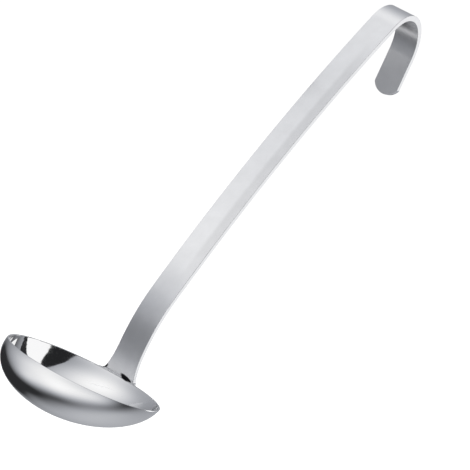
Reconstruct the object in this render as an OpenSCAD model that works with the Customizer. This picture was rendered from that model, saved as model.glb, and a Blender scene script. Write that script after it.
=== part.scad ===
// Sauce ladle: a round dish, pressed from sheet and trimmed at a slant, with a hooked flat-bar handle.
// The bar's foot laps the outside of the dish's back wall and is welded to it all round.
// Origin: the centre of the hook's inner bend, where a rail's axis lies when the ladle hangs.
// Axes: +Z up and square to the bowl's rim, +Y from the bowl towards the hook, X across the bar.

/* [Bowl] */
// Outside diameter of the pressed dish at its widest line
bowl_d = 82; // [74:0.5:92]
// Outside depth of the pressed dish below its widest line
press_depth = 18.8; // [16:0.1:24]
// Slope in degrees of the widest line against the rim, lower at the front
trim_tilt = 16.2; // [12:0.1:20]
// Thickness of the dish's sheet
sheet_t = 1; // [0.8:0.1:1.4]

/* [Handle] */
// Width of the flat bar
strip_w = 13.7; // [11:0.1:17]
// Thickness of the flat bar
strip_t = 3; // [2.2:0.1:4]
// Length of the upright neck above the rim
neck_len = 15; // [8:0.1:22]
// Outer radius of the bend above the neck
neck_r = 71; // [45:1:100]
// Lean of the handle in degrees above the neck bend
shaft_angle = 25.5; // [18:0.1:30]
// Length of the gently bowed shaft, along its front face
shaft_len = 187; // [140:1:230]
// Lean of the handle in degrees where the hook begins
hook_angle = 39.3; // [34:0.1:46]

/* [Hook] */
// Inner radius of the hook's bend
hook_r = 19.5; // [12:0.1:24]
// Lean of the hook's free leg in degrees, 180 pointing straight down
leg_angle = 179; // [165:0.5:190]
// Length of the hook's free leg to the middle of its rounded end
leg_len = 22; // [18:0.1:34]
// Radius of the leg's rounded end
tip_r = 7.5; // [7:0.1:12]

/* [Foot and welds] */
// How far the foot reaches down below the rim
lap_len = 12; // [9:0.1:14]
// Thickness of the foot where it laps the bowl
lap_t = 2.4; // [1.8:0.1:3]
// Widening of the foot on each side, which begins where the neck does
flare_w = 2.8; // [1.5:0.1:4]
// Radius of the foot's lower corners
lap_corner_r = 5; // [3:0.1:6]
// Leg length of the weld along the front of the foot
seam_leg = 0.9; // [0.6:0.1:1.2]
// Width of the weld round the sides and bottom of the foot
bead_w = 1.4; // [1:0.1:2]
// Height of that weld above the bowl's wall
bead_h = 1.2; // [0.8:0.1:1.6]

/* [Hidden] */
$fn = 144;
profile_steps = 36;
neck_steps = 12;
bow_steps = 20;
hook_steps = 56;
bowl_r = bowl_d / 2;
foot_w = strip_w + 2 * flare_w;
// Cutting solids reach this far past what they cut
overrun = bowl_d;
// The inside of the hook's bend is ground this deep into the bar, to a true round
bend_grind = strip_t / 20;
// The leg's rounded end is never narrower than the bar
end_r = max(tip_r, strip_w / 2);

// Points of the dish's outline in the plane of its axis, from its bottom to its top
function dish_points(radius, depth) =
    [for (i = [0:profile_steps])
        let (turn = 180 * i / profile_steps - 90)
        [radius * cos(turn), depth * sin(turn)]];

// Where the slanted trim meets the dish's back wall, as a distance behind the dish's middle
function trim_back(radius, depth, tilt) =
    1 / sqrt(pow(cos(tilt) / radius, 2) + pow(sin(tilt) / depth, 2));

// Side view of the bar, as [distance back, height]: its heading and its back side at a lean
function heading(lean) = [sin(lean), cos(lean)];
function backwards(lean) = [cos(lean), -sin(lean)];
function after_run(start, lean, run) = start + run * heading(lean);
function after_bend(start, lean_a, lean_b, radius) =
    start + radius * (backwards(lean_a) - backwards(lean_b));

// Stations along the bar's front face, measured from the dish's middle
neck_start = [trim_back(bowl_r, press_depth, trim_tilt), 0];
neck_end = after_run(neck_start, 0, neck_len);
shaft_start = after_bend(neck_end, 0, shaft_angle, neck_r);
bow_r = shaft_len * 180 / (PI * (hook_angle - shaft_angle));
hook_start = after_bend(shaft_start, shaft_angle, hook_angle, bow_r);
hook_face_r = hook_r - bend_grind + strip_t;
hook_axis = hook_start + hook_face_r * backwards(hook_angle);
leg_start = after_bend(hook_start, hook_angle, leg_angle, hook_face_r);

// Stations along one bend of the front face, each as [place, lean], without the bend's first
function bend_stations(start, lean_a, lean_b, radius, steps) =
    [for (i = [1:steps])
        let (lean = lean_a + (lean_b - lean_a) * i / steps)
        [after_bend(start, lean_a, lean, radius), lean]];

// Stations of the whole bar, from the rim over the neck, the shaft and the hook to its end
stations = concat(
    [[neck_start, 0], [neck_end, 0]],
    bend_stations(neck_end, 0, shaft_angle, neck_r, neck_steps),
    bend_stations(shaft_start, shaft_angle, hook_angle, bow_r, bow_steps),
    bend_stations(hook_start, hook_angle, leg_angle, hook_face_r, hook_steps),
    [[after_run(leg_start, leg_angle, leg_len), leg_angle]]);
front_face = [for (station = stations) station[0]];
back_face = [for (station = stations) station[0] + strip_t * backwards(station[1])];

// Moves a piece built round the dish's middle so that the hook's bend is centred on the origin
module from_hook() {
    translate([0, -hook_axis[0], -hook_axis[1]]) children();
}

// Closed dish form, level and centred, before it is hollowed and trimmed
module dish_form(grow) {
    rotate([trim_tilt, 0, 0])
        rotate_extrude()
            polygon(dish_points(bowl_r + grow, press_depth + grow));
}

// Everything above the rim's plane, which passes through the dish's middle
module above_rim() {
    translate([-overrun, -overrun, 0]) cube([2 * overrun, 2 * overrun, overrun]);
}

// Outline of the foot below the rim, seen from behind, wider all round by grow
module lap_outline(grow) {
    half_w = foot_w / 2 + grow;
    corner_r = lap_corner_r + grow;
    depth = lap_len + grow;
    translate([-half_w, -depth + corner_r]) square([2 * half_w, depth - corner_r]);
    translate([-half_w + corner_r, -depth]) square([2 * (half_w - corner_r), depth]);
    for (side = [-1, 1])
        translate([side * (half_w - corner_r), -depth + corner_r]) circle(r = corner_r);
}

// A solid of one outline, run backwards from the dish's middle and hanging from the rim's plane
module lap_prism(grow) {
    translate([0, overrun, 0])
        rotate([90, 0, 0])
            linear_extrude(height = overrun) lap_outline(grow);
}

// The whole bent bar, square at its end
module bar() {
    turned_back = [for (i = [len(back_face) - 1:-1:0]) back_face[i]];
    rotate([90, 0, 90])
        linear_extrude(height = strip_w, center = true)
            polygon(concat(front_face, turned_back));
}

// The round to which the inside of the hook's bend is ground
module bend_round() {
    translate([0, hook_axis[0], hook_axis[1]])
        rotate([0, 90, 0])
            cylinder(r = hook_r, h = 2 * strip_w, center = true);
}

// What is cut from the free leg's square end to leave an arc
module end_trim() {
    translate([0, leg_start[0], leg_start[1]])
        rotate([90 - leg_angle, 0, 0])
            translate([0, leg_len - end_r, -2 * strip_t])
                linear_extrude(height = 3 * strip_t)
                    difference() {
                        translate([-strip_w, 0]) square([2 * strip_w, 2 * end_r]);
                        circle(r = end_r);
                    }
}

// Points of the flare's outline, from the foot's side at the rim up a quarter oval to the neck's top
function flare_points() =
    [for (i = [0:neck_steps])
        let (turn = 90 * i / neck_steps)
        [flare_w * (1 - sin(turn)), neck_len * (1 - cos(turn))]];

// Curve on one side of the neck that widens it to the foot at the rim
module flare() {
    translate([strip_w / 2, neck_start[0] + strip_t, 0])
        rotate([90, 0, 0])
            linear_extrude(height = strip_t)
                polygon(concat([[0, 0]], flare_points()));
}

// Pressed sheet dish, open at its slanted trim
module bowl() {
    color("gainsboro") from_hook() difference() {
        dish_form(0);
        dish_form(-sheet_t);
        above_rim();
    }
}

// The part of the handle that lies against the bowl's back wall
module foot() {
    intersection() {
        lap_prism(0);
        difference() {
            dish_form(lap_t);
            dish_form(0);
            above_rim();
        }
    }
}

// One bent flat bar from the foot to the end of the hook
module handle() {
    color("silver") from_hook() {
        foot();
        difference() {
            bar();
            bend_round();
            end_trim();
        }
        for (side = [0, 1]) mirror([side, 0, 0]) flare();
    }
}

// Hollow weld between the handle's front face and the top of the rim
module seam_weld() {
    color("darkgray") from_hook()
        translate([-foot_w / 2, neck_start[0], 0])
            rotate([90, 0, 90])
                linear_extrude(height = foot_w)
                    difference() {
                        translate([-seam_leg, 0]) square(seam_leg);
                        translate([-seam_leg, seam_leg]) circle(r = seam_leg);
                    }
}

// Weld on the bowl's wall along the sides and bottom of the foot
module lap_weld() {
    color("darkgray") from_hook() intersection() {
        difference() {
            lap_prism(bead_w);
            lap_prism(0);
        }
        difference() {
            dish_form(bead_h);
            dish_form(0);
            above_rim();
        }
    }
}

bowl();
handle();
seam_weld();
lap_weld();
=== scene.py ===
"""Looks of the sauce ladle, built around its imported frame: a polished dish, a satin bar with
polished edges and a hook, and the two welds that join them. Everything is in metres, with the
origin at the centre of the hook's inner bend and +Z square to the bowl's rim."""

import math

import bpy
import numpy as np
from bpy.props import FloatProperty, FloatVectorProperty, PointerProperty
from mathutils import Matrix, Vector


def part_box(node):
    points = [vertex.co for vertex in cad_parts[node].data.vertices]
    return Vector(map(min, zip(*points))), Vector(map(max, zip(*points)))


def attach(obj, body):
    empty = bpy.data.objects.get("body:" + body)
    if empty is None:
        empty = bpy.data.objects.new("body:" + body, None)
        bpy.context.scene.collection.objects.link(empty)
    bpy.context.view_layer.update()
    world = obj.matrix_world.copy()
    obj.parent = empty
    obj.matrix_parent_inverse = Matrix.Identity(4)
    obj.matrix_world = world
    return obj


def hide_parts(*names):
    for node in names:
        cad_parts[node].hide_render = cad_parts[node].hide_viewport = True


bl_info = {
    "name": "Sauce ladle",
    "version": (1, 0, 0),
    "blender": (4, 5, 0),
    "location": "3D View > Sidebar > Ladle",
    "description": "Builds a sauce ladle of polished and satin steel, and its studio",
    "category": "Add Mesh",
}

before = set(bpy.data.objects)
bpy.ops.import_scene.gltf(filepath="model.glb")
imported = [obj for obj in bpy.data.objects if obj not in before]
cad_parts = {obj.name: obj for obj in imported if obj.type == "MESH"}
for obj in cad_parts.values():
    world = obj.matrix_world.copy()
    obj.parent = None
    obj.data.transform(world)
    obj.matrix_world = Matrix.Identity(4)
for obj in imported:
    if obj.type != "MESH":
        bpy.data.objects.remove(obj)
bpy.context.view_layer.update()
BODY = "root"
BOWL_LOW, BOWL_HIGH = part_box("bowl")
# Height of the rim's plane, and distance back of the bar's front face where it stands on it
RIM_Z = BOWL_HIGH.z
NECK_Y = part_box("seam_weld")[1].y
MM_PER_METRE = 1000


def length(name, text, default):
    """A length in metres, shown in the scene's unit."""
    return FloatProperty(name=name, description=text, default=default, unit="LENGTH", precision=5)


def angle(name, text, degrees):
    """An angle, given here in degrees and held in radians."""
    return FloatProperty(name=name, description=text, default=math.radians(degrees), unit="ROTATION")


def share(name, text, default):
    """A number between 0 and 1, shown as a slider."""
    return FloatProperty(name=name, description=text, default=default, min=0, max=1, subtype="FACTOR")


def colour(name, text, default):
    """A plain colour."""
    return FloatVectorProperty(
        name=name, description=text, default=default, size=3, min=0, max=1, subtype="COLOR"
    )


class BowlSizes(bpy.types.PropertyGroup):
    """Sizes of the pressed dish."""

    width: length("Width", "Outside diameter of the dish", BOWL_HIGH.x - BOWL_LOW.x)
    depth: length("Depth", "Outside depth below the dish's widest line", 0.0188)
    tilt: angle("Tilt", "Slope of the widest line against the rim", 16.2)
    sheet: length("Sheet", "Thickness of the sheet", 0.001)
    edge: length("Edge", "Height over which the rim's edge is rounded", 0.0003)


class HandleSizes(bpy.types.PropertyGroup):
    """Sizes of the bar, its foot and its hook."""

    width: length("Width", "Width of the flat bar", 0.0137)
    thickness: length("Thickness", "Thickness of the flat bar", 0.003)
    neck: length("Neck", "Length of the upright neck", 0.015)
    neck_radius: length("Neck radius", "Outer radius of the bend above the neck", 0.071)
    shaft_lean: angle("Shaft lean", "Lean above the neck's bend", 25.5)
    shaft: length("Shaft", "Length of the bowed shaft", 0.187)
    hook_lean: angle("Hook lean", "Lean where the hook begins", 39.3)
    hook_radius: length("Hook radius", "Outer radius of the hook's bend", 0.02235)
    leg_lean: angle("Leg lean", "Lean of the hook's free leg", 179)
    leg: length("Leg", "Length of the hook's free leg", 0.022)
    tip_radius: length("Tip radius", "Radius of the leg's rounded end", 0.0075)
    lap: length("Lap", "How far the foot reaches below the rim", 0.012)
    lap_thickness: length("Lap thickness", "Thickness of the foot on the wall", 0.0024)
    lap_corner: length("Lap corner", "Radius of the foot's lower corners", 0.005)
    flare: length("Flare", "Widening of the foot on each side", 0.0028)
    bevel: length("Bevel", "Radius of the bar's edges", 0.0001)


class WeldSizes(bpy.types.PropertyGroup):
    """Sizes of the two welds."""

    seam: length("Seam leg", "Leg of the weld along the front of the foot", 0.0009)
    bead_width: length("Bead width", "Width of the weld round the foot", 0.0014)
    bead_height: length("Bead height", "Height of the weld round the foot", 0.0012)
    ripple: length("Ripple", "Depth of the ripples along a bead", 0.00005)


class SteelLooks(bpy.types.PropertyGroup):
    """Colours and finishes of the steel."""

    polished: colour("Polished", "Colour of the polished steel", (0.86, 0.86, 0.865))
    satin: colour("Satin", "Colour of the satin steel", (0.885, 0.888, 0.9))
    weld: colour("Weld", "Colour of the weld metal", (0.86, 0.86, 0.87))
    inside: share("Inside", "Roughness of the bowl's inside", 0.04)
    outside: share("Outside", "Roughness of the bowl's outside", 0.13)
    face: share("Face", "Roughness of the bar's brushed faces", 0.32)
    edges: share("Edges", "Roughness of the bar's polished edges", 0.1)


class StudioLooks(bpy.types.PropertyGroup):
    """The floor and the tent of light."""

    floor_drop: length("Floor drop", "Gap between the bowl and the floor", 0.07)
    floor: colour("Floor", "Colour of the floor", (0.9, 0.9, 0.9))
    tent: length("Tent", "Radius of the tent that the steel mirrors", 0.9)


class LadleSettings(bpy.types.PropertyGroup):
    """Everything that a user would change."""

    bowl: PointerProperty(type=BowlSizes, name="Bowl", description="Sizes of the dish")
    handle: PointerProperty(type=HandleSizes, name="Handle", description="Sizes of the bar")
    welds: PointerProperty(type=WeldSizes, name="Welds", description="Sizes of the welds")
    steel: PointerProperty(type=SteelLooks, name="Steel", description="Colours and finishes")
    studio: PointerProperty(type=StudioLooks, name="Studio", description="Floor and light")


def settings():
    """All the sizes and colours of the scene."""
    return bpy.context.scene.ladle


# ---- shapes ----


def smooth_step(value, low, high):
    """0 below low and 1 above high, with an even S curve between."""
    part = np.clip((value - low) / (high - low), 0, 1)
    return part * part * (3 - 2 * part)


def rim_distance_back(bowl):
    """How far behind the dish's middle its slanted trim meets the back wall: one over the root
    of the sum of the squares of cosine over radius and sine over depth."""
    return 1 / math.hypot(math.cos(bowl.tilt) / (bowl.width / 2), math.sin(bowl.tilt) / bowl.depth)


def dish_middle(bowl):
    """The middle of the dish in the row frame: the point of the rim's plane from which the oval
    is measured."""
    return np.array([0, NECK_Y - rim_distance_back(bowl), RIM_Z])


def dish_point(bowl, turn, rise, grow):
    """A point of the dish's oval, grown by grow: radius times the cosine of the rise goes out at
    the turn, depth times the sine of the rise goes up, and both then tilt about X."""
    radius, depth = bowl.width / 2 + grow, bowl.depth + grow
    out, up = radius * np.cos(rise), depth * np.sin(rise)
    side, back = out * np.cos(turn), out * np.sin(turn)
    c, s = math.cos(bowl.tilt), math.sin(bowl.tilt)
    return np.stack([side, back * c - up * s, back * s + up * c], -1)


def rim_rise(bowl, turn, grow, drop):
    """The rise at which the grown dish crosses the plane drop below the rim: with a as radius
    times the sines of turn and tilt, and b as depth times the cosine of tilt, a times cosine plus
    b times sine of the rise is minus drop."""
    radius, depth = bowl.width / 2 + grow, bowl.depth + grow
    a = radius * np.sin(turn) * math.sin(bowl.tilt)
    b = depth * math.cos(bowl.tilt)
    return np.arcsin(-drop / np.hypot(a, b)) - np.arctan2(a, b)


def dish_back(bowl, side, up, grow):
    """How far back the grown dish's wall is at a distance to the side and a height, both from the
    dish's middle: the larger root of the oval's equation."""
    radius, depth = bowl.width / 2 + grow, bowl.depth + grow
    c, s = math.cos(bowl.tilt), math.sin(bowl.tilt)
    a = (c / radius) ** 2 + (s / depth) ** 2
    b = up * c * s * (1 / radius**2 - 1 / depth**2)
    k = up**2 * ((s / radius) ** 2 + (c / depth) ** 2) + (side / radius) ** 2 - 1
    return (-b + np.sqrt(b * b - a * k)) / a


def build_mesh(name, points, quads, triangles, values=None, uv=None):
    """A smooth mesh from arrays: points, quads and triangles of point numbers, named values per
    point, and a UV pair per point."""
    mesh = bpy.data.meshes.new(name)
    quads = np.asarray(quads, int).reshape(-1, 4)
    triangles = np.asarray(triangles, int).reshape(-1, 3)
    loops = np.concatenate([quads.ravel(), triangles.ravel()])
    starts = np.concatenate([4 * np.arange(len(quads)), quads.size + 3 * np.arange(len(triangles))])
    mesh.vertices.add(len(points))
    mesh.vertices.foreach_set("co", np.asarray(points, np.float32).ravel())
    mesh.loops.add(len(loops))
    mesh.loops.foreach_set("vertex_index", loops.astype(np.int32))
    mesh.polygons.add(len(starts))
    mesh.polygons.foreach_set("loop_start", starts.astype(np.int32))
    mesh.polygons.foreach_set("use_smooth", np.ones(len(starts), bool))
    mesh.update(calc_edges=True)
    for key, data in (values or {}).items():
        layer = mesh.attributes.new(key, "FLOAT", "POINT")
        layer.data.foreach_set("value", np.asarray(data, np.float32).ravel())
    if uv is not None:
        layer = mesh.uv_layers.new(name="UVMap")
        layer.data.foreach_set("uv", np.asarray(uv, np.float32)[loops].ravel())
    mesh.validate()
    piece = bpy.data.objects.new(name, mesh)
    bpy.context.scene.collection.objects.link(piece)
    return piece


def ring_quads(rings, around):
    """Quads between closed rings of points that are numbered ring by ring."""
    ring = np.arange(rings - 1)[:, None] * around
    here = np.arange(around)[None, :]
    beside = (here + 1) % around
    corners = [ring + here, ring + beside, ring + around + beside, ring + around + here]
    return np.stack(corners, -1).reshape(-1, 4)


def end_fans(rings, around):
    """Triangles that close such rings with two more points, numbered after them: one for the first
    ring and one for the last."""
    here = np.arange(around)
    beside = (here + 1) % around
    end, low = (rings - 1) * around, rings * around
    first = np.stack([np.full(around, low), beside, here], -1)
    last = np.stack([np.full(around, low + 1), end + here, end + beside], -1)
    return np.concatenate([first, last])


def finish_piece(piece, material, slot, *nodes):
    """Gives a piece its material, hangs it under the body's empty and hides the CAD parts that it
    stands for.
    """
    piece.data.materials.append(material)
    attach(piece, BODY)
    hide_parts(*nodes)


def bowl_surface(bowl, turns=240, wall_rows=56, edge_rows=12, squareness=2.4):
    """Points of the dish, ring by ring: up the outer oval from its bottom, over the rim and down
    the inner oval. The rim is a superellipse: from the middle of the wall, half the wall's width
    times the cosine and the edge's height times the sine, each to the power 2 over squareness. The
    value inside is 0 on the outer wall and 1 on the inner one, and the UV is the turn and the row."""
    turn = np.linspace(0, 2 * math.pi, turns, endpoint=False)[None, :]
    climb = np.sin(np.linspace(0, math.pi / 2, wall_rows + 1))[1:, None]
    walls = []
    for grow in (0.0, -bowl.sheet):
        top = rim_rise(bowl, turn, grow, bowl.edge)
        walls.append(dish_point(bowl, turn, -math.pi / 2 + climb * (top + math.pi / 2), grow))
    outer, inner = walls[0], walls[1][::-1]
    half = (outer[-1] - inner[0]) / 2
    bow = np.linspace(0, math.pi, edge_rows + 2)[1:-1, None, None]
    across = np.sign(np.cos(bow)) * np.abs(np.cos(bow)) ** (2 / squareness)
    rise = np.sin(bow) ** (2 / squareness)
    edge = (outer[-1] + inner[0]) / 2 + half * across + np.array([0, 0, bowl.edge]) * rise
    stack = np.concatenate([outer, edge, inner])
    bottoms = np.array([dish_point(bowl, 0.0, -math.pi / 2, grow) for grow in (0.0, -bowl.sheet)])
    points = np.concatenate([stack.reshape(-1, 3), bottoms]) + dish_middle(bowl)
    over_edge = np.linspace(0, 1, edge_rows + 2)[1:-1]
    mix = np.concatenate([np.zeros(wall_rows), over_edge, np.ones(wall_rows)])
    inside = np.concatenate([np.repeat(mix, turns), [0, 1]])
    rows = len(stack)
    spin = np.concatenate([np.tile(turn.ravel() / (2 * math.pi), rows), [0, 0]])
    level = np.concatenate([np.repeat(np.arange(rows) / rows, turns), [0, 1]])
    uv = np.stack([spin, level], -1)
    return points, ring_quads(rows, turns), end_fans(rows, turns), {"inside": inside}, uv


def bar_line(handle, steps=12000):
    """The bar's front face seen from the side, as distances along it, its lean and its place: the
    lean is even steps between knots, and the place is the running sum of sine and cosine of it."""
    knots = np.cumsum([
        0,
        handle.neck,
        handle.neck_radius * handle.shaft_lean,
        handle.shaft,
        handle.hook_radius * (handle.leg_lean - handle.hook_lean),
        handle.leg,
    ])
    leans = [0, 0, handle.shaft_lean, handle.hook_lean, handle.leg_lean, handle.leg_lean]
    run = np.unique(np.concatenate([np.linspace(0, knots[-1], steps + 1), knots]))
    lean = np.interp(run, knots, leans)
    middle, step = (lean[1:] + lean[:-1]) / 2, np.diff(run)
    back = NECK_Y + np.concatenate([[0], np.cumsum(np.sin(middle) * step)])
    up = RIM_Z + np.concatenate([[0], np.cumsum(np.cos(middle) * step)])
    return knots, run, lean, back, up


# The side of the foot that faces the dish lies this deep in its wall, and follows the wall up to
# this height above the rim. The foot turns into the bar from this far below the rim to as far above
FOOT_SUNK = 0.0001
FOOT_TOP = 0.0016
FOOT_BLEND = 0.0015


def bar_point(bowl, handle, line, side, run, depth):
    """A point of the bent bar from its flat pattern: at a run along the front face, to the side of
    its middle and depth into its thickness, square to the face. Below the rim, the foot lies on
    the dish's wall instead, and the two blend within a short height."""
    knots, along, lean, back, up = line
    middle = dish_middle(bowl)
    at = np.clip(run, 0, knots[-1])
    tip = np.interp(at, along, lean)
    bar_back = np.interp(at, along, back) + depth * np.cos(tip)
    bar_up = np.interp(at, along, up) - depth * np.sin(tip) + np.minimum(run, 0)
    share_in = depth / handle.thickness
    low = np.minimum(run, FOOT_TOP)
    wall = dish_back(bowl, side, low, -FOOT_SUNK)
    cover = dish_back(bowl, side, low, handle.lap_thickness)
    foot_back = middle[1] + wall + (cover - wall) * share_in
    mix = smooth_step(run, -FOOT_BLEND, FOOT_BLEND)
    return np.stack([side, foot_back + (bar_back - foot_back) * mix, bar_up], -1)


def bar_outline(handle, total, bottom_points=6, curve_points=13, bar_points=400, tip_points=25):
    """Right half of the bar's flat pattern, from the middle of the foot's lower edge round its
    corner, up its side, along the flare and the bar and round the hook's tip to its middle."""
    half, foot = handle.width / 2, handle.width / 2 + handle.flare
    quarter = np.linspace(0, math.pi / 2, curve_points)
    corner_side = foot - handle.lap_corner + handle.lap_corner * np.sin(quarter)
    corner_run = -handle.lap + handle.lap_corner * (1 - np.cos(quarter))
    rise = np.linspace(-handle.lap + handle.lap_corner, 0, curve_points)[1:]
    flare_side = foot - handle.flare * np.sin(quarter[1:])
    flare_run = handle.neck * (1 - np.cos(quarter[1:]))
    reach = handle.tip_radius - math.sqrt(handle.tip_radius**2 - half**2)
    straight = np.linspace(handle.neck, total - reach, bar_points)[1:]
    widest = math.asin(half / handle.tip_radius)
    swing = np.linspace(widest, 0, tip_points)[1:]
    tip_side = handle.tip_radius * np.sin(swing)
    tip_run = total - handle.tip_radius * (1 - np.cos(swing))
    bottom = np.linspace(0, foot - handle.lap_corner, bottom_points)[:-1]
    foot_side, bar_side = np.full(len(rise), foot), np.full(len(straight), half)
    bottom_run = np.full(len(bottom), -handle.lap)
    side = np.concatenate([bottom, corner_side, foot_side, flare_side, bar_side, tip_side])
    run = np.concatenate([bottom_run, corner_run, rise, flare_run, straight, tip_run])
    return side, run


def inward_corners(side, run):
    """Where each point of a closed outline goes when its two edges move in by one: the sum of their
    unit normals, times two over the square of that sum's length."""
    edge = np.stack([np.roll(side, -1) - side, np.roll(run, -1) - run], -1)
    edge /= np.linalg.norm(edge, axis=-1, keepdims=True)
    square = np.stack([-edge[:, 1], edge[:, 0]], -1)
    both = square + np.roll(square, 1, axis=0)
    return both / np.linalg.norm(both, axis=-1, keepdims=True) ** 2 * 2


# The outermost rows of the bar's faces, as a share of its half width. Its narrow sides begin this
# many bevels below the faces. Its back face's UVs lie this far, in metres, beside its front face's
FACE_MARGIN = 0.995
SIDE_START = 1.6
BACK_FACE_SHIFT = 0.05


def handle_surface(bowl, handle, edge_rows=5, columns=18):
    """Points of the bar: its flat pattern's outline is carried from the edge over a quarter round of
    the bevel's radius on to each face, the faces are rows between the outline's halves, and the
    whole is bent along the bar's line. A narrow strip beside each round keeps the flats flat. The
    value polish is 0 on the faces and 1 on the narrow sides, and the UV is side and run in metres."""
    line = bar_line(handle)
    half_side, half_run = bar_outline(handle, line[0][-1])
    side = np.concatenate([half_side, -half_side[-2:0:-1]])
    run = np.concatenate([half_run, half_run[-2:0:-1]])
    count, rows = len(side), len(half_side)
    inward = inward_corners(side, run)
    swing = np.linspace(0, math.pi / 2, edge_rows)
    inset = handle.bevel * np.concatenate([[0], 1 - np.cos(swing)])
    level = handle.bevel * np.concatenate([[SIDE_START], 1 - np.sin(swing)])
    insets = np.concatenate([inset[::-1], inset])
    levels = np.concatenate([level[::-1], handle.thickness - level])
    loop_side = side + inward[:, 0] * insets[:, None]
    loop_run = run + inward[:, 1] * insets[:, None]
    loop_depth = np.broadcast_to(levels[:, None], loop_side.shape)
    loops = len(insets)
    shine = np.concatenate([np.linspace(0, 1, edge_rows), [1]])
    polish = np.repeat(np.concatenate([shine, shine[::-1]]), count)
    # Each face's rows run between the two halves of its last loop, from the foot to the tip
    inner = np.concatenate([[-FACE_MARGIN], np.linspace(-1, 1, columns - 1)[1:-1], [FACE_MARGIN]])
    row = np.arange(1, rows - 1)
    face_points, face_quads, face_triangles = [], [], []
    start = loops * count
    for loop, depth, turned in ((0, 0.0, False), (loops - 1, handle.thickness, True)):
        right_side, right_run = loop_side[loop, row], loop_run[loop, row]
        grid_side = right_side[:, None] * inner
        grid_run = np.broadcast_to(right_run[:, None], grid_side.shape)
        face_points.append((grid_side, grid_run, np.full(grid_side.shape, depth)))
        numbers = start + np.arange(grid_side.size).reshape(grid_side.shape)
        left = loop * count + (count - row)
        right = loop * count + row
        full = np.concatenate([left[:, None], numbers, right[:, None]], 1)
        corners = [full[:-1, :-1], full[:-1, 1:], full[1:, 1:], full[1:, :-1]]
        quads = np.stack(corners, -1).reshape(-1, 4)
        foot_point, tip_point = loop * count, loop * count + rows - 1
        triangles = np.concatenate([
            np.stack([np.full(columns, foot_point), full[0, 1:], full[0, :-1]], -1),
            np.stack([np.full(columns, tip_point), full[-1, :-1], full[-1, 1:]], -1),
        ])
        face_quads.append(quads[:, ::-1] if turned else quads)
        face_triangles.append(triangles[:, ::-1] if turned else triangles)
        start += grid_side.size
    grids = zip((loop_side, loop_run, loop_depth), *face_points)
    all_side, all_run, all_depth = (np.concatenate([grid.ravel() for grid in same]) for same in grids)
    points = bar_point(bowl, handle, line, all_side, all_run, all_depth)
    polish = np.concatenate([polish, np.zeros(len(all_side) - len(polish))])
    quads = np.concatenate([ring_quads(loops, count)] + face_quads)
    triangles = np.concatenate(face_triangles)
    uv = np.stack([all_side + (all_depth > handle.thickness / 2) * BACK_FACE_SHIFT, all_run], -1)
    return points, quads, triangles, {"polish": polish}, uv


def closed_tube(count, around):
    """Quads and flat end fans of a tube of so many closed sections, numbered section by section."""
    here = np.arange(1, around - 1)
    first = np.stack([np.zeros(len(here), int), here + 1, here], -1)
    last = np.stack([np.zeros(len(here), int), here, here + 1], -1) + (count - 1) * around
    return ring_quads(count, around), np.concatenate([first, last])


def seam_weld_surface(
    bowl, handle, welds, sections=120, arc_rows=7, reach=0.97, fade=0.98, waves=47, sunk=0.00012
):
    """Points of the hollow weld along the rim: at each place across the bar, out to the reach as a
    share of the foot's half width, a quarter circle is cut out of the corner between the rim's top
    and the bar's face. Its leg shrinks towards both ends as the fourth root of one minus the fade
    times the fourth power of the way out, with small ripples. Its back and its underside lie sunk
    in the steel."""
    line = bar_line(handle)
    half = handle.width / 2 + handle.flare
    way = np.linspace(-1, 1, sections)
    side = half * reach * way
    leg = welds.seam * (1 - np.abs(way) ** 4 * fade) ** 0.25
    leg = leg + welds.ripple * np.sin(way * waves) * (1 - way**2)
    face = bar_point(bowl, handle, line, side, leg / 2, 0.0)[:, 1]
    swing = np.linspace(0, math.pi / 2, arc_rows)
    back = face[:, None] - leg[:, None] * (1 - np.cos(swing))
    up = RIM_Z + leg[:, None] * (1 - np.sin(swing))
    sunk_face = (face + sunk)[:, None]
    back = np.concatenate([sunk_face, back, back[:, -1:], sunk_face], 1)
    up = np.concatenate([up[:, :1], up, np.full((sections, 2), RIM_Z - sunk)], 1)
    points = np.stack([np.broadcast_to(side[:, None], back.shape), back, up], -1)
    quads, triangles = closed_tube(*back.shape)
    return points.reshape(-1, 3), quads, triangles, {}, None


def lap_weld_surface(bowl, handle, welds, arc_rows=9, steps=260, wave=0.0007, power=0.9, sunk=0.0001):
    """Points of the bead round the foot: along the foot's outline below the rim, the bead's width
    times a power of the cosine goes out from the foot and its height times that power of the sine
    goes off the wall, with ripples along its length. Its base lies sunk in the wall, and its inner
    side is tucked three times as far under the foot."""
    half_side, half_run = bar_outline(handle, bar_line(handle)[0][-1])
    low = half_run <= 0
    half_side, half_run = half_side[low], half_run[low]
    far = np.concatenate([[0], np.cumsum(np.hypot(np.diff(half_side), np.diff(half_run)))])
    fine = np.linspace(0, 1, steps) * far[-1]
    half_side, half_run = (np.interp(fine, far, half) for half in (half_side, half_run))
    side = np.concatenate([-half_side[:0:-1], half_side])
    run = np.concatenate([half_run[:0:-1], half_run])
    along = np.concatenate([-fine[:0:-1], fine])
    slope = np.stack([np.gradient(side), np.gradient(run)], -1)
    slope /= np.linalg.norm(slope, axis=-1, keepdims=True)
    swing = np.linspace(math.pi / 2, 0, arc_rows)
    lump = 1 + welds.ripple / welds.bead_height * np.sin(along / wave)[:, None]
    out = welds.bead_width * np.cos(swing) ** power * lump
    off = welds.bead_height * np.sin(swing) ** power * lump
    tucked = np.full((len(side), 1), -3 * sunk)
    out = np.concatenate([tucked, out, out[:, -1:], tucked], 1)
    off = np.concatenate([off[:, :1], off, np.full((len(side), 2), -sunk)], 1)
    bead_side = side[:, None] + slope[:, 1:] * out
    bead_run = run[:, None] - slope[:, :1] * out
    middle = dish_middle(bowl)
    back = middle[1] + dish_back(bowl, bead_side, np.minimum(bead_run, 0), off)
    points = np.stack([bead_side, back, middle[2] + np.minimum(bead_run, 0)], -1)
    quads, triangles = closed_tube(*back.shape)
    return points.reshape(-1, 3), quads, triangles, {}, None


# ---- materials ----


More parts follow.
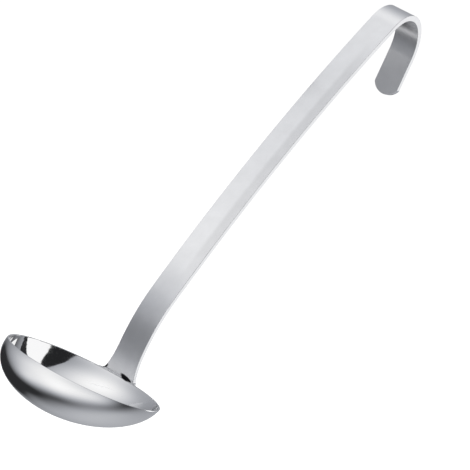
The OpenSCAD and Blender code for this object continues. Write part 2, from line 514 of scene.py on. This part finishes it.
def new_group(name, inputs, outputs):
    """An empty shader node group with named inputs, each a name, type and default, and outputs."""
    group = bpy.data.node_groups.new(name, "ShaderNodeTree")
    for label, kind, default in inputs:
        socket = group.interface.new_socket(name=label, in_out="INPUT", socket_type=kind)
        if default is not None:
            socket.default_value = default
    for label, kind in outputs:
        group.interface.new_socket(name=label, in_out="OUTPUT", socket_type=kind)
    return group, group.nodes.new("NodeGroupInput"), group.nodes.new("NodeGroupOutput")


def node(tree, kind, links=None, **values):
    """A node with its settings, and links from sockets or numbers to its inputs by name."""
    made = tree.nodes.new(kind)
    for key, value in values.items():
        setattr(made, key, value)
    for key, value in (links or {}).items():
        if isinstance(value, bpy.types.NodeSocket):
            tree.links.new(value, made.inputs[key])
        else:
            made.inputs[key].default_value = value
    return made


def calculate(tree, operation, first, second):
    """The result of a sum on two sockets or numbers."""
    return node(tree, "ShaderNodeMath", {0: first, 1: second}, operation=operation).outputs[0]


def mix_colours(tree, factor, first, second):
    """A blend from the first colour to the second, each a socket or four numbers."""
    ends = {"Factor": factor, "A": first, "B": second}
    return node(tree, "ShaderNodeMix", ends, data_type="RGBA").outputs["Result"]


def mix_numbers(tree, factor, first, second):
    """A blend from the first number or socket to the second."""
    ends = {"Factor": factor, "A": first, "B": second}
    return node(tree, "ShaderNodeMix", ends, data_type="FLOAT").outputs["Result"]


def smooth_mask(tree, value, low, high):
    """0 up to low and 1 from high on, with an even S curve between."""
    span = {"Value": value, "From Min": low, "From Max": high}
    return node(tree, "ShaderNodeMapRange", span, interpolation_type="SMOOTHSTEP").outputs["Result"]


def bump(tree, shader, height, strength, distance):
    """Bends the shader's normals as a surface of that height would, at a distance in metres."""
    made = node(tree, "ShaderNodeBump", {"Height": height, "Strength": strength, "Distance": distance})
    tree.links.new(made.outputs["Normal"], shader.inputs["Normal"])


def grain_group():
    """Fine scratches: noise on a vector in metres, drawn out by the two scales. Shade is the
    noise about a half, and Height the finer noise for a bump."""
    group, source, sink = new_group(
        "Steel grain",
        [
            ("Vector", "NodeSocketVector", None),
            ("Across", "NodeSocketFloat", 9000.0),
            ("Along", "NodeSocketFloat", 250.0),
        ],
        [("Shade", "NodeSocketFloat"), ("Height", "NodeSocketFloat")],
    )
    scale = node(group, "ShaderNodeCombineXYZ", {
        "X": source.outputs["Across"],
        "Y": source.outputs["Along"],
        "Z": 1.0,
    })
    drawn = node(group, "ShaderNodeVectorMath", {
        0: source.outputs["Vector"],
        1: scale.outputs[0],
    }, operation="MULTIPLY").outputs[0]
    for output, size, detail, rough in (("Shade", 0.35, 3.0, 0.6), ("Height", 1.0, 2.0, 0.5)):
        noise = node(group, "ShaderNodeTexNoise", {
            "Vector": drawn,
            "Scale": size,
            "Detail": detail,
            "Roughness": rough,
        })
        group.links.new(noise.outputs["Fac"], sink.inputs[output])
    return group


def haze_group():
    """Soft patches left by polishing: slow noise over the surface, from 0 to 1."""
    group, source, sink = new_group(
        "Polishing haze",
        [("Vector", "NodeSocketVector", None), ("Scale", "NodeSocketFloat", 40.0)],
        [("Haze", "NodeSocketFloat")],
    )
    slow = node(group, "ShaderNodeTexNoise", {
        "Vector": source.outputs["Vector"],
        "Scale": source.outputs["Scale"],
        "Detail": 3.0,
    })
    spread = node(group, "ShaderNodeMapRange", {
        "Value": slow.outputs["Fac"],
        "From Min": 0.3,
        "From Max": 0.7,
    })
    group.links.new(spread.outputs["Result"], sink.inputs["Haze"])
    return group


# Painted shade where the handle's foot meets the rim: dark spots that stand in for the shade in the gap
# between foot and rim. Middle and half sizes in millimetres, as side, distance back of the bar's front
# face and height above the rim, and slope in degrees to the right
PAINTED_SHADE_SPOTS = [
    ((4.7, -0.2, 0.35), (4.2, 2.0, 1.15), -15),
    ((-8.8, 1.5, 1.4), (1.9, 3.0, 1.5), 30),
]
# A spot of painted shade begins at the first share of its size and is whole within the second
PAINTED_SHADE_START, PAINTED_SHADE_WHOLE = 1.15, 0.75
# Near black colour of the painted shade at the foot
PAINTED_SHADE_COLOUR = (0.015, 0.015, 0.018, 1.0)


def painted_shade_group():
    """Painted shade where the foot meets the rim: the largest of one mask for each dark spot, which is
    1 inside its oval and falls to 0 just outside it."""
    group, source, sink = new_group(
        "Weld painted shade",
        [("Vector", "NodeSocketVector", None)],
        [("Mask", "NodeSocketFloat")],
    )
    mask = None
    for (side, back, up), sizes, slope in PAINTED_SHADE_SPOTS:
        middle = (side / MM_PER_METRE, NECK_Y + back / MM_PER_METRE, RIM_Z + up / MM_PER_METRE)
        near = node(group, "ShaderNodeMapping", {
            "Vector": source.outputs["Vector"],
            "Location": middle,
            "Rotation": (0.0, math.radians(-slope), 0.0),
            "Scale": [size / MM_PER_METRE for size in sizes],
        }, vector_type="TEXTURE")
        far = node(group, "ShaderNodeVectorMath", {0: near.outputs[0]}, operation="LENGTH")
        inside = smooth_mask(group, far.outputs["Value"], PAINTED_SHADE_START, PAINTED_SHADE_WHOLE)
        mask = inside if mask is None else calculate(group, "MAXIMUM", mask, inside)
    group.links.new(mask, sink.inputs["Mask"])
    return group


def groups():
    """The shared effects, built once."""
    known = bpy.data.node_groups
    return (
        known.get("Steel grain") or grain_group(),
        known.get("Polishing haze") or haze_group(),
        known.get("Weld painted shade") or painted_shade_group(),
    )


def effect(tree, group, place, **numbers):
    """A shared effect placed in a tree: its outputs, for the place it reads and its numbers."""
    return node(tree, "ShaderNodeGroup", {"Vector": place, **numbers}, node_tree=group).outputs


def colour_steel(tree, shader, painted_shade, place, plain):
    """Gives the shader the plain colour, turned dark by painted shade where the foot meets the rim."""
    mask = effect(tree, painted_shade, place)["Mask"]
    tree.links.new(mix_colours(tree, mask, plain, PAINTED_SHADE_COLOUR), shader.inputs["Base Color"])


def steel(name):
    """A metal material: its tree, its shader, the place on the piece that it reads and itself."""
    material = bpy.data.materials.new(name)
    material.use_nodes = True
    tree = material.node_tree
    shader = tree.nodes["Principled BSDF"]
    shader.inputs["Metallic"].default_value = 1.0
    place = node(tree, "ShaderNodeTexCoord").outputs["Object"]
    return tree, shader, place, material


def blend_number(tree, factor, low, high):
    """A number that goes from low to high with the factor."""
    made = node(tree, "ShaderNodeMapRange", {"Value": factor, "To Min": low, "To Max": high})
    return made.outputs["Result"]


def shade_colour(tree, factor, base, low, high):
    """The base colour, times a number that goes from low to high with the factor."""
    first, second = ((*(part * level for part in base), 1.0) for level in (low, high))
    return mix_colours(tree, factor, first, second)


# How much rougher the dish is where its haze lies, outside and inside
OUTSIDE_HAZE, INSIDE_HAZE = 0.03, 0.02
# How far the grain moves the roughness of the bar's faces, down and up
SMOOTH_GRAIN, ROUGH_GRAIN = 0.04, 0.06


def polished_steel(looks):
    """The dish: mirror polish inside and a softer one outside, with faint polishing haze and turned
    lines round the dish's axis."""
    tree, shader, place, material = steel("polished_steel")
    grain, haze, painted_shade = groups()
    inside = node(tree, "ShaderNodeAttribute", attribute_name="inside").outputs["Fac"]
    ring = node(tree, "ShaderNodeUVMap", uv_map="UVMap").outputs["UV"]
    patches = effect(tree, haze, place, Scale=45.0)["Haze"]
    lines = effect(tree, grain, ring, Across=12.0, Along=900.0)["Shade"]
    outside_rough = blend_number(tree, patches, looks.outside, looks.outside + OUTSIDE_HAZE)
    inside_rough = blend_number(tree, patches, looks.inside, looks.inside + INSIDE_HAZE)
    rough = mix_numbers(tree, inside, outside_rough, inside_rough)
    tree.links.new(rough, shader.inputs["Roughness"])
    dish_colour = shade_colour(tree, lines, looks.polished, low=0.985, high=1.015)
    colour_steel(tree, shader, painted_shade, place, dish_colour)
    return material


# Where the painted shade along the shaft's right third begins and ends, a darker lane in place of the
# shading of the face there: the axis of the bar's UV, X across and Y along, and the place in metres
# where it is gone and the one where it is whole
PAINTED_SHADE_LANE_ENDS = [("X", 0.001, 0.0035), ("X", 0.012, 0.011), ("Y", 0.05, 0.08), ("Y", 0.225, 0.19)]


def painted_shade_lane(tree, place):
    """A mask for the painted shade along the right third of the shaft's front, a darker lane in place
    of the shading there: an S curve across the bar, times one at each of its two ends. The place is
    metres to the side and along the bar."""
    parts = node(tree, "ShaderNodeSeparateXYZ", {0: place})
    mask = None
    for axis, low, high in PAINTED_SHADE_LANE_ENDS:
        step = smooth_mask(tree, parts.outputs[axis], low, high)
        mask = step if mask is None else calculate(tree, "MULTIPLY", mask, step)
    return mask


def satin_steel(looks):
    """The bar: fine grain along its faces, smooth bright edges, and painted shade along the right third
    of the shaft's front.
    """
    tree, shader, place, material = steel("satin_steel")
    grain, haze, painted_shade = groups()
    polish = node(tree, "ShaderNodeAttribute", attribute_name="polish").outputs["Fac"]
    flat = node(tree, "ShaderNodeUVMap", uv_map="UVMap").outputs["UV"]
    lines = effect(tree, grain, flat, Across=9000.0, Along=300.0)
    patches = effect(tree, haze, place, Scale=160.0)["Haze"]
    low, high = looks.face - SMOOTH_GRAIN, looks.face + ROUGH_GRAIN
    face_rough = blend_number(tree, lines["Shade"], low, high)
    rough = mix_numbers(tree, polish, face_rough, looks.edges)
    tree.links.new(rough, shader.inputs["Roughness"])
    unevenness = calculate(tree, "MULTIPLY", calculate(tree, "ADD", lines["Shade"], patches), 0.5)
    plain = shade_colour(tree, unevenness, looks.satin, low=0.94, high=1.04)
    # Painted shade: the shaft's right third is darker, in place of the shading of the face there
    painted_shade_lane_colour = shade_colour(tree, unevenness, looks.satin, low=0.82, high=0.91)
    bar_colour = mix_colours(tree, painted_shade_lane(tree, flat), plain, painted_shade_lane_colour)
    colour_steel(tree, shader, painted_shade, place, bar_colour)
    bump(tree, shader, lines["Height"], strength=0.12, distance=0.00002)
    return material


def weld_steel(looks):
    """The welds: ground smooth, with uneven patches."""
    tree, shader, place, material = steel("weld_steel")
    grain, haze, painted_shade = groups()
    patches = effect(tree, haze, place, Scale=700.0)["Haze"]
    marks = effect(tree, grain, place, Across=3000.0, Along=3000.0)["Height"]
    rough = blend_number(tree, patches, low=0.4, high=0.6)
    tree.links.new(rough, shader.inputs["Roughness"])
    weld_colour = shade_colour(tree, patches, looks.weld, low=1.04, high=0.96)
    colour_steel(tree, shader, painted_shade, place, weld_colour)
    bump(tree, shader, marks, strength=0.2, distance=0.00003)
    return material


# ---- studio ----


def toward(round_front, height):
    """Unit vectors towards a bearing, in degrees from the front (-Y) round to the right (+X), and a
    height above the horizon in degrees."""
    bearing, rise = np.broadcast_arrays(np.radians(round_front), np.radians(height))
    return np.stack([np.sin(bearing) * np.cos(rise), -np.cos(bearing) * np.cos(rise), np.sin(rise)], -1)


# Broad soft lights and shades of the tent: name, bearing and height in degrees, as toward takes
# them, tightness and brightness
SOFT_LIGHTS = [
    ("front light", -1, 29, 3.9, 0.86),
    ("left top light", -110, 62, 15.5, 1.09),
    ("front low shade", -51, -49, 3.0, -0.81),
    ("left low shade", -109, -26, 12.8, -1.20),
    ("right shade", 67, 28, 3.8, -1.10),
    ("right top light", 55, 35, 7.8, 1.02),
    ("front left light", -45, 2, 15.2, 0.31),
    ("front middle shade", 9, -18, 6.2, -0.39),
    ("right light", 81, -2, 4.9, 0.36),
    ("floor light", -40, -71, 1.5, 0.57),
    ("left upper light", -75, 48, 10.0, 0.88),
    ("left upper shade", -87, 53, 13.1, -1.20),
    ("shaft light", -48, 56, 20.0, 0.05),
]
TENT_GREY = 0.309
TENT_DARKEST, TENT_BRIGHTEST = 0.028, 1.3

# The tent and the cards are slightly blue where they glow up to the weak level, and white from the
# full one on
WEAK_LIGHT, FULL_LIGHT = (0.965, 0.993, 1.06, 1), (1, 1, 1, 1)
WEAK_GLOW, FULL_GLOW = 0.4, 1.0

# Cards hung near the dish, for its inside to mirror: name, brightness at each of two border lines,
# and the lines, in millimetres from the dish's middle. The back ones stand at one distance behind
# it and glow towards the front, with lines as right and up. The upright ones stand at one distance
# to its left and glow that way, with lines as back and up.
BACK_CARD_DISTANCE = 35
BACK_CARDS = [
    ("back_white", (1.09, 1.09),
     [(-10, 64.5), (-11.8, 61), (-16.5, 53.1), (-19.8, 47.7), (-22.5, 43.3)],
     [(-10, 36.2), (-12, 36.6), (-15.8, 37.5), (-18, 39.5), (-21, 41.5)]),
    ("back_black", (0.02, 0.02),
     [(-10, 64.5), (-11.8, 61), (-16.5, 53.1), (-19.8, 47.7), (-21.6, 44.8), (-23.4, 42.5)],
     [(-10, 130), (-11.7, 118.9), (-16.7, 81.2), (-19.8, 62.8), (-21.7, 52.7), (-23.4, 44.9)]),
]
UPRIGHT_CARD_SIDE = -12
UPRIGHT_CARDS = [
    ("upright_white", (1.09, 1.09),
     [(24.8, -5), (24.8, 3.6), (23.9, 10.8), (25.3, 18), (28.8, 26.1), (33, 33.5), (40.9, 46.9),
      (50, 60)],
     [(17, -5), (17.6, 3.6), (17.7, 10.8), (17.5, 18), (18.6, 24), (21.8, 34.2), (27.8, 47),
      (35.5, 61.4)]),
    ("upright_black", (0.02, 0.02),
     [(17.5, 14), (17.5, 18), (18.6, 24), (21.8, 34.2), (25.5, 42.5), (29.2, 49.8), (34.7, 60.1),
      (36, 85), (37, 119)],
     [(10, 14), (11.6, 18), (13.7, 24), (16.2, 34.2), (16.9, 43), (17.9, 50), (20, 65.6),
      (26.2, 92.9), (36, 119)]),
    ("upright_dark", (0.03, 0.03),
     [(24.8, -5), (24.8, 3.6), (23.9, 10.8), (25.3, 18), (28.8, 26.1), (33, 33.5), (40.9, 46.9),
      (50, 60)],
     [(28.8, -5), (28.2, 2.8), (26.9, 9.5), (29.2, 16.6), (34.7, 24.5), (38.4, 29.4), (48, 40),
      (60, 55)]),
    ("upright_grey", (0.38, 0.09),
     [(28.8, -5), (28.2, 2.8), (26.9, 9.5), (29.2, 16.6), (34.7, 24.5), (38.4, 29.4), (48, 40)],
     [(43.5, -6), (41.3, -1.3), (38.3, 5.3), (39.9, 10.9), (43.1, 14.7), (48, 19), (60, 28)]),
    ("upright_strip", (1.05, 1.05),
     [(43.5, -6), (41.3, -1.3), (38.3, 5.3), (39.9, 10.9), (43.1, 14.7), (48, 19)],
     [(120, -24), (92, -12), (69, -2.1), (66.5, 3.1), (66, 8), (70, 14)]),
    ("upright_far", (0.2, 0.2),
     [(120, -24), (92, -12), (69, -2.1), (66.5, 3.1), (66, 8), (70, 14)],
     [(380, -90), (380, -60), (300, -20), (300, 0), (300, 20), (300, 40)]),
]

# Cards near the handle: name, the direction in which each glows, and rows of a brightness and two
# points in millimetres in the row frame, between which the brightness blends
HANDLE_CARDS = [
    ("neck_card", (0, 1, 0), [
        (0.95, (-22, -150, -195), (4, -150, -195)),
        (0.82, (-26, -150, -191), (4, -150, -191)),
        (0.57, (-28, -150, -188.5), (4, -150, -188.5)),
        (0.36, (-28, -150, -185.5), (4, -150, -185.5)),
        (0.25, (-28, -150, -182), (4, -150, -182)),
        (0.22, (-28, -150, -178.5), (4, -150, -178.5)),
        (0.23, (-29, -150, -161), (4, -150, -161)),
        (0.26, (-30, -150, -155), (3, -150, -155)),
        (0.30, (-31, -150, -150), (3, -150, -150)),
    ]),
    ("bend_card", (0, 1, 0), [
        (0.28, (-55, -175, -152), (-8, -175, -152)),
        (0.33, (-55, -175, -140), (-8, -175, -140)),
        (0.47, (-58, -175, -107), (-12, -175, -107)),
        (0.56, (-60, -175, -91), (-14, -175, -91)),
        (0.62, (-60, -175, -78), (-16, -175, -78)),
    ]),
    ("neck_side_card", (1, 0, 0), [
        (0.40, (-45, -175, -184), (-45, -132, -184)),
        (0.42, (-45, -175, -144), (-45, -132, -144)),
    ]),
    ("rim_light", (0, -1, 0), [
        (3.0, (44, -100, -170), (96, -100, -170)),
        (3.0, (40, -100, -146), (90, -100, -142)),
    ]),
    ("shaft_edge_light", (-1, 0, 0), [
        (0.9, (22, -130, -95), (22, -101, -110)),
        (0.9, (22, -100, -42), (22, -73, -59)),
        (0.9, (22, -42, 37), (22, -18, 18)),
    ]),
    ("edge_light", (-1, 0, 0), [
        (0.92, (60, -35, -205), (60, 110, -205)),
        (0.92, (60, 50, 40), (60, 190, 40)),
    ]),
    ("leg_card", (0, 1, 0), [
        (0.2, (-80, -60, 2), (-18, -60, 2)),
        (0.2, (-80, -60, -16), (-18, -60, -16)),
        (0.29, (-80, -60, -32), (-18, -60, -32)),
        (0.21, (-80, -60, -60), (-18, -60, -60)),
    ]),
    ("hook_card", (0, 0, 1), [
        (0.22, (-70, -60, -60), (-12, -60, -60)),
        (0.10, (-70, 0, -60), (-12, 0, -60)),
        (1.25, (-70, 7, -60), (-12, 7, -60)),
        (1.25, (-70, 11, -60), (-12, 11, -60)),
        (0.03, (-70, 17, -60), (-12, 17, -60)),
        (0.03, (-70, 54, -60), (-9, 54, -60)),
        (0.30, (-150, 150, -60), (-9, 150, -60)),
    ]),
]


def tent_glow(way):
    """Brightness of the tent in each direction: a grey, plus each soft light's brightness times e
    to its tightness times one less than the cosine of the angle to it."""
    glow = np.full(way.shape[:-1], TENT_GREY)
    for _, bearing, height, tight, bright in SOFT_LIGHTS:
        glow += bright * np.exp(tight * (way @ toward(bearing, height) - 1))
    return np.clip(glow, TENT_DARKEST, TENT_BRIGHTEST)


def add_tent(studio, around=360, rows=180):
    """A sphere round the ladle that only its steel mirrors: the dish's middle plus the tent's
    radius times the unit vectors towards each bearing and height. Its faces look inwards."""
    bearing = np.linspace(-180, 180, around, endpoint=False)[None, :]
    height = np.linspace(-90, 90, rows + 1)[1:-1, None]
    way = np.concatenate([toward(bearing, height).reshape(-1, 3), [[0, 0, -1], [0, 0, 1]]])
    centre = dish_middle(settings().bowl)
    quads, triangles = (faces(rows - 1, around)[:, ::-1] for faces in (ring_quads, end_fans))
    points = centre + studio.tent * way
    tent = build_mesh("light_tent", points, quads, triangles, {"glow": tent_glow(way)})
    hide_from_camera(tent, "tent_cloth")


def empty_tree(owner):
    """The emptied node tree of a material or a world."""
    owner.use_nodes = True
    owner.node_tree.nodes.clear()
    return owner.node_tree


def glowing_sheet(name):
    """A material that glows on the sides that its faces look to and is clear from behind: the
    light's strength is the mesh's glow, and its colour follows the glow."""
    material = bpy.data.materials.new(name)
    tree = empty_tree(material)
    glow = node(tree, "ShaderNodeAttribute", attribute_name="glow").outputs["Fac"]
    tint = node(tree, "ShaderNodeValToRGB", {"Fac": glow})
    weak, full = tint.color_ramp.elements
    weak.position, weak.color = WEAK_GLOW, WEAK_LIGHT
    full.position, full.color = FULL_GLOW, FULL_LIGHT
    light = node(tree, "ShaderNodeEmission", {"Color": tint.outputs["Color"], "Strength": glow})
    clear = node(tree, "ShaderNodeBsdfTransparent")
    back = node(tree, "ShaderNodeNewGeometry").outputs["Backfacing"]
    both = node(tree, "ShaderNodeMixShader", {0: back, 1: light.outputs[0], 2: clear.outputs[0]})
    node(tree, "ShaderNodeOutputMaterial", {"Surface": both.outputs[0]})
    return material


def hide_from_camera(sheet, name):
    """Makes a sheet of the studio glow, and lets only mirrors show it."""
    sheet.data.materials.append(bpy.data.materials.get(name) or glowing_sheet(name))
    sheet.visible_camera = sheet.visible_diffuse = False
    sheet.visible_shadow = sheet.visible_transmission = False


def add_card(name, faces, glow, first, second):
    """A strip of quads between two lines of points, which glows towards the direction in faces."""
    count = len(first)
    points = np.concatenate([first, second])
    here = np.arange(count - 1)
    quads = np.stack([here, here + 1, here + 1 + count, here + count], -1)
    corner = points[quads[-1]]
    if np.cross(corner[1] - corner[0], corner[3] - corner[0]) @ np.array(faces) < 0:
        quads = quads[:, ::-1]
    hide_from_camera(build_mesh(name, points, quads, [], {"glow": glow}), "card_light")


def add_near_cards():
    """The cards near the dish, whose flat lines get their third distance, and those near the
    handle."""
    centre = dish_middle(settings().bowl)
    for cards, axis, distance, faces in (
        (BACK_CARDS, 1, BACK_CARD_DISTANCE, (0, -1, 0)),
        (UPRIGHT_CARDS, 0, UPRIGHT_CARD_SIDE, (-1, 0, 0)),
    ):
        for name, glow, *lines in cards:
            places = np.insert(np.array(lines, float), axis, distance, -1) / MM_PER_METRE
            first, second = centre + places
            add_card(name, faces, np.repeat(glow, len(first)), first, second)
    for name, faces, rows in HANDLE_CARDS:
        glow, first, second = (np.array(column) for column in zip(*rows))
        add_card(name, faces, np.tile(glow, 2), first / MM_PER_METRE, second / MM_PER_METRE)


# Half the floor's side in metres, and how much brighter than its paper it looks
FLOOR_REACH = 30.0
FLOOR_LIFT = 0.4
# Strength of the white surround as a light, and as what is seen of it
SURROUND_LIGHT, SURROUND_LOOK = 0.7, 1.0


def seen_ray(tree):
    """1 for rays from the camera, or mirrored or let through by the object, and 0 for the rest."""
    path = node(tree, "ShaderNodeLightPath").outputs
    seen = calculate(tree, "MAXIMUM", path["Is Camera Ray"], path["Is Glossy Ray"])
    return calculate(tree, "MAXIMUM", seen, path["Is Transmission Ray"])


def add_floor(studio):
    """A plain pale floor below the bowl, bright enough to show white but for the shadow on it."""
    level = BOWL_LOW.z - studio.floor_drop
    sides = [(-1, -1), (1, -1), (1, 1), (-1, 1)]
    corners = [(FLOOR_REACH * right, FLOOR_REACH * back, level) for right, back in sides]
    floor = build_mesh("floor", corners, [[0, 1, 2, 3]], [])
    material = bpy.data.materials.new("floor_paper")
    tree = empty_tree(material)
    paper = node(tree, "ShaderNodeBsdfDiffuse", {"Color": (*studio.floor, 1.0)})
    lift = calculate(tree, "MULTIPLY", seen_ray(tree), FLOOR_LIFT)
    light = node(tree, "ShaderNodeEmission", {"Strength": lift})
    both = node(tree, "ShaderNodeAddShader", {0: paper.outputs[0], 1: light.outputs[0]})
    node(tree, "ShaderNodeOutputMaterial", {"Surface": both.outputs[0]})
    floor.data.materials.append(material)
    floor.visible_glossy = False


def add_world():
    """A white surround, a little darker as a light than it looks."""
    world = bpy.data.worlds.new("white_room")
    bpy.context.scene.world = world
    tree = empty_tree(world)
    strength = blend_number(tree, seen_ray(tree), SURROUND_LIGHT, SURROUND_LOOK)
    sky = node(tree, "ShaderNodeBackground", {"Color": (1.0, 1.0, 1.0, 1.0), "Strength": strength})
    node(tree, "ShaderNodeOutputWorld", {"Surface": sky.outputs[0]})


def add_turned(name, data, right, up, back, place):
    """An object with this data whose X, Y and Z axes point right, up and back."""
    turn = np.eye(4)
    turn[:3] = np.stack([right, up, back, place], -1)
    made = bpy.data.objects.new(name, data)
    bpy.context.scene.collection.objects.link(made)
    made.matrix_world = Matrix(turn)
    return made


# The lamp: its power in watts, its side and its distance from the dish's middle in metres, and its
# bearing and height in degrees
LAMP_POWER, LAMP_SIDE, LAMP_DISTANCE = 18.0, 1.2, 2.2
LAMP_BEARING, LAMP_HEIGHT = -20, 60


def add_lamp():
    """One soft lamp above the front, for the floor's shadow."""
    lamp = bpy.data.lights.new("soft_lamp", "AREA")
    lamp.energy, lamp.size = LAMP_POWER, LAMP_SIDE
    way = toward(LAMP_BEARING, LAMP_HEIGHT)
    right = np.cross([0, 0, 1], way)
    right = right / np.linalg.norm(right)
    place = dish_middle(settings().bowl) + LAMP_DISTANCE * way
    add_turned("soft_lamp", lamp, right, np.cross(way, right), way, place).visible_glossy = False


# Where the camera stands: its bearing and height seen from its target and its roll, in radians, and
# its distance from the target in metres
CAMERA_BEARING, CAMERA_HEIGHT, CAMERA_ROLL = 0.42729, 0.126253, 0.437834
CAMERA_DISTANCE = 1.8972
# The target, from the dish's middle
CAMERA_TARGET = (0, -0.001294, 0.0002)
# The picture's side and the focal length in pixels, and the pixel in which the target lies
PICTURE = 470
FOCAL_PIXELS = 4000
TARGET_PIXEL = (83.008, 371.75)


def add_camera():
    """The camera at the photograph's angle. Its axes are turned from level by the roll, and it is
    set back from its target so that the target lies at its own place in the picture."""
    bearing, rise, roll = CAMERA_BEARING, CAMERA_HEIGHT, CAMERA_ROLL
    level_right = np.array([math.cos(bearing), math.sin(bearing), 0])
    back = np.array([
        math.sin(bearing) * math.cos(rise),
        -math.cos(bearing) * math.cos(rise),
        math.sin(rise),
    ])
    level_up = np.cross(back, level_right)
    right = level_right * math.cos(roll) + level_up * math.sin(roll)
    up = np.cross(back, right)
    aside = [(pixel - PICTURE / 2) / FOCAL_PIXELS * CAMERA_DISTANCE for pixel in TARGET_PIXEL]
    target = dish_middle(settings().bowl) + np.array(CAMERA_TARGET)
    place = target - right * aside[0] + up * aside[1] + back * CAMERA_DISTANCE
    lens = bpy.data.cameras.new("camera")
    lens.sensor_width = 36.0
    lens.lens = FOCAL_PIXELS / PICTURE * lens.sensor_width
    lens.clip_end = 100.0
    bpy.context.scene.camera = add_turned("camera", lens, right, up, back, place)


# ---- operators ----


class LADLE_OT_camera(bpy.types.Operator):
    """Place the camera at the photograph's angle"""

    bl_idname = "ladle.camera"
    bl_label = "Camera"

    def execute(self, context):
        add_camera()
        return {"FINISHED"}


class LADLE_OT_bowl(bpy.types.Operator):
    """Build the polished dish"""

    bl_idname = "ladle.bowl"
    bl_label = "Bowl"

    def execute(self, context):
        sizes = settings()
        piece = build_mesh("ladle_bowl", *bowl_surface(sizes.bowl))
        finish_piece(piece, polished_steel(sizes.steel), "polished_steel", "bowl")
        return {"FINISHED"}


class LADLE_OT_handle(bpy.types.Operator):
    """Build the bent bar with its foot and hook"""

    bl_idname = "ladle.handle"
    bl_label = "Handle"

    def execute(self, context):
        sizes = settings()
        piece = build_mesh("ladle_handle", *handle_surface(sizes.bowl, sizes.handle))
        finish_piece(piece, satin_steel(sizes.steel), "satin_steel", "handle")
        return {"FINISHED"}


class LADLE_OT_welds(bpy.types.Operator):
    """Build the two welds"""

    bl_idname = "ladle.welds"
    bl_label = "Welds"

    def execute(self, context):
        sizes = settings()
        material = weld_steel(sizes.steel)
        seam = build_mesh("rim_weld", *seam_weld_surface(sizes.bowl, sizes.handle, sizes.welds))
        finish_piece(seam, material, "weld_steel", "seam_weld")
        lap = build_mesh("foot_weld", *lap_weld_surface(sizes.bowl, sizes.handle, sizes.welds))
        finish_piece(lap, material, "weld_steel", "lap_weld")
        return {"FINISHED"}


class LADLE_OT_studio(bpy.types.Operator):
    """Build the floor, the white surround, the tent and cards that the steel mirrors, and the lamp"""

    bl_idname = "ladle.studio"
    bl_label = "Studio"

    def execute(self, context):
        studio = settings().studio
        add_world()
        add_floor(studio)
        add_tent(studio)
        add_near_cards()
        add_lamp()
        context.scene.view_settings.view_transform = "Standard"
        return {"FINISHED"}


OPERATORS = [LADLE_OT_camera, LADLE_OT_bowl, LADLE_OT_handle, LADLE_OT_welds, LADLE_OT_studio]
GROUPS = [BowlSizes, HandleSizes, WeldSizes, SteelLooks, StudioLooks, LadleSettings]


class LADLE_PT_panel(bpy.types.Panel):
    """The ladle's sizes and looks, and a button for each step"""

    bl_idname = "LADLE_PT_panel"
    bl_label = "Sauce ladle"
    bl_space_type = "VIEW_3D"
    bl_region_type = "UI"
    bl_category = "Ladle"

    def draw(self, context):
        for part in ("bowl", "handle", "welds", "steel", "studio"):
            box = self.layout.box()
            box.label(text=part.capitalize())
            group = getattr(context.scene.ladle, part)
            for key in type(group).__annotations__:
                box.prop(group, key)
        for operator in OPERATORS:
            self.layout.operator(operator.bl_idname)


def register():
    """Makes the settings, operators and panel known to Blender."""
    for kind in (*GROUPS, *OPERATORS, LADLE_PT_panel):
        bpy.utils.register_class(kind)
    bpy.types.Scene.ladle = PointerProperty(type=LadleSettings)


def unregister():
    """Takes them away again."""
    del bpy.types.Scene.ladle
    for kind in reversed((*GROUPS, *OPERATORS, LADLE_PT_panel)):
        bpy.utils.unregister_class(kind)


def main():
    """Builds the scene in order."""
    register()
    bpy.ops.ladle.camera()
    bpy.ops.ladle.bowl()
    bpy.ops.ladle.handle()
    bpy.ops.ladle.welds()
    bpy.ops.ladle.studio()


if __name__ == "__main__":
    main()
